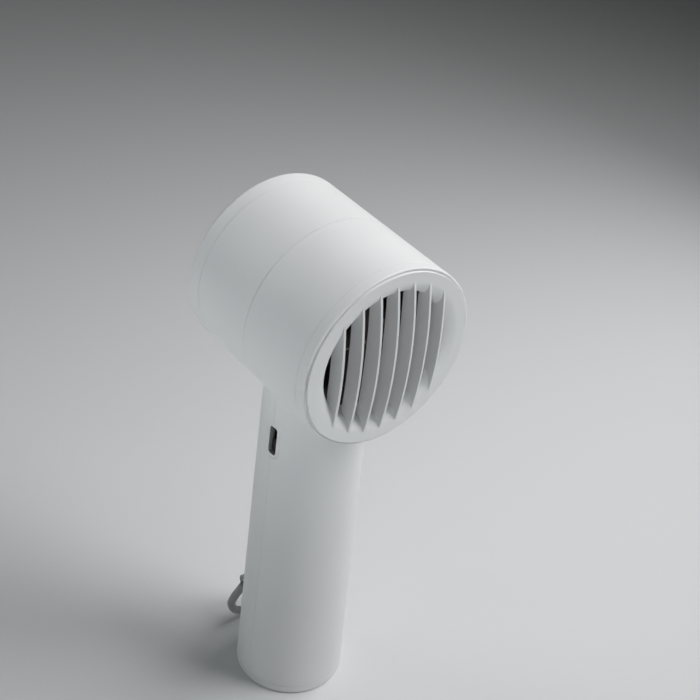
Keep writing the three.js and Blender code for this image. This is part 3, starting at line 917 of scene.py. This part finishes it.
eye_width = 0.0024
eye_radius = 0.003
eye_x = lug_width / 2 + fit_gap + eye_width / 2
loop_wire = 0.0018
loop_length = 0.0194
loop_half = 0.011
side_points = [
    (eye_x, 0.001),
    (eye_x + 0.003, 0.0045),
    (loop_half - 0.0014, loop_length * 0.38),
    (loop_half, loop_length * 0.58),
    (loop_half - 0.003, loop_length * 0.85),
]
bar_points = [*side_points, (0, loop_length), *[(-x, y) for x, y in reversed(side_points)]]


def catmull(points, steps):
    """More points, on a smooth line through these."""
    ends = [
        [2 * a - b for a, b in zip(points[0], points[1])],
        *points,
        [2 * a - b for a, b in zip(points[-1], points[-2])],
    ]
    line = []
    for index in range(1, len(ends) - 2):
        p0, p1, p2, p3 = ends[index - 1:index + 3]
        for step in range(steps):
            t = step / steps
            line.append([
                0.5 * (
                    2 * b + (c - a) * t + (2 * a - 5 * b + 4 * c - d) * t ** 2
                    + (3 * b - a - 3 * c + d) * t ** 3
                )
                for a, b, c, d in zip(p0, p1, p2, p3)
            ])
    line.append(list(points[-1]))
    return line


path = bpy.data.curves.new("loop_line", "CURVE")
path.dimensions = "3D"
path.bevel_depth = loop_wire
path.bevel_resolution = 6
path.use_fill_caps = True
spline = path.splines.new("POLY")
line = catmull(bar_points, 10)
spline.points.add(len(line) - 1)
for point, (x, y) in zip(spline.points, line):
    point.co = (x, loop_y, loop_z - y, 1)
loop = bpy.data.objects.new("hanging_ring", path)
bpy.context.collection.objects.link(loop)
pick(loop)
bpy.ops.object.convert(target="MESH")
loop = bpy.context.object
edit(loop)
bpy.ops.mesh.remove_doubles(threshold=fine_weld)
bpy.ops.mesh.normals_make_consistent(inside=False)
close_edit()
for side in (-1, 1):
    cut(loop, rod(eye_radius, eye_width, (side * eye_x, loop_y, loop_z), "X", 64), "UNION")
cut(loop, rod(pin_hole, 0.02, (0, loop_y, loop_z), "X", 48))
smooth(loop, 40)
dress(loop, grey_rubber)
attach(loop, "loop")
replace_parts(loop, "hanging_loop")

pin_end = lug_width / 2 + fit_gap + eye_width
pin_round = 0.0003
pin = turned("loop_axle", [
    (0, -pin_end),
    *corner(pin_radius - pin_round, -pin_end + pin_round, pin_round, -90, 0, 4),
    *corner(pin_radius - pin_round, pin_end - pin_round, pin_round, 0, 90, 4),
    (0, pin_end),
], (1, 0, 0), (0, loop_y, loop_z), 48, (0, 1, 0))
smooth(pin)
dress(pin, shaft_steel)
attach(pin, "housing")
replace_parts(pin, "loop_pin")


# ---------------------------------------------------------------------------------------------
# Studio
# A pale sheet of paper to stand on, square soft lamps above and to the right, weaker and slightly
# cooler ones on the left, and a long-lens camera looking down on the outlet from the front left.
# ---------------------------------------------------------------------------------------------

bpy.ops.object.select_all(action="DESELECT")
bpy.ops.mesh.primitive_plane_add(size=6, location=(0, 0, 0))
floor = bpy.context.object
floor.name = "floor"
paper = Finish("pale_paper", Roughness=0.85)
fibre = paper.noise(900, 4, 0.6)
paper.feed("Base Color", paper.mix(fibre, grey(0.79, -0.01), grey(0.76, -0.01)))
paper.bump(fibre, 0.05, 0.0003)
dress(floor, paper.material)


def soft_lamp(name, place, aim, size, watts, tint=(1, 1, 1), spread=180):
    data = bpy.data.lights.new(name, "AREA")
    data.shape = "SQUARE"
    data.size = size
    data.energy = watts
    data.color = tint
    data.spread = math.radians(spread)
    lamp = bpy.data.objects.new(name, data)
    bpy.context.collection.objects.link(lamp)
    lamp.location = place
    lamp.rotation_euler = (Vector(aim) - Vector(place)).to_track_quat("-Z", "Y").to_euler()


barrel_aim = (0, 0, 0.17)
middle_aim = (0, 0, 0.13)
cool_tint = (0.93, 0.985, 1.0)
soft_lamp("overhead", (0.15, -0.05, 0.60), barrel_aim, 0.3, 0.77)
soft_lamp("overhead_right", (0.38, 0, 0.50), barrel_aim, 0.3, 0.60)
soft_lamp("front_right", (0.6, -0.6, 1.0), middle_aim, 0.6, 0.92, spread=60)
soft_lamp("right", (0.48, 0.05, 0.25), barrel_aim, 0.25, 0.32)
soft_lamp("left", (-0.42, 0.08, 0.38), barrel_aim, 0.3, 0.17, cool_tint)
soft_lamp("low_left", (-0.60, 0.10, 0.04), (-0.03, 0, 0.175), 0.2, 0.045, cool_tint, 30)
soft_lamp("low_front", (-0.15, -0.60, 0.08), (0, -0.04, 0.175), 0.2, 0.034, cool_tint, 30)
soft_lamp("front_left", (-0.9, -0.9, 0.4), middle_aim, 0.6, 0.125, cool_tint, 60)
soft_lamp("back_left", (-0.7, 0.9, 0.6), middle_aim, 0.6, 0.18, cool_tint, 40)

world = bpy.data.worlds.new("studio")
world.use_nodes = True
world.node_tree.nodes["Background"].inputs["Color"].default_value = (1, 1, 1, 1)
world.node_tree.nodes["Background"].inputs["Strength"].default_value = 0.02
bpy.context.scene.world = world

azimuth = math.radians(-40.94)
elevation = math.radians(36.13)
roll = math.radians(6.79)
camera_place = (-0.3159, -0.3813, 0.5320)
focal_length = 82.29
back = Vector((
    math.sin(azimuth) * math.cos(elevation),
    -math.cos(azimuth) * math.cos(elevation),
    math.sin(elevation),
))
right = Vector((math.cos(azimuth), math.sin(azimuth), 0))
up = back.cross(right)
right, up = right * math.cos(roll) + up * math.sin(roll), up * math.cos(roll) - right * math.sin(roll)
lens_data = bpy.data.cameras.new("camera")
lens_data.lens = focal_length
lens_data.sensor_width = 36
lens_data.clip_start = 0.01
camera = bpy.data.objects.new("camera", lens_data)
bpy.context.collection.objects.link(camera)
axes = Matrix((right, up, back)).transposed().to_4x4()
camera.matrix_world = Matrix.Translation(camera_place) @ axes
bpy.context.scene.camera = camera
bpy.context.scene.view_settings.view_transform = "Standard"
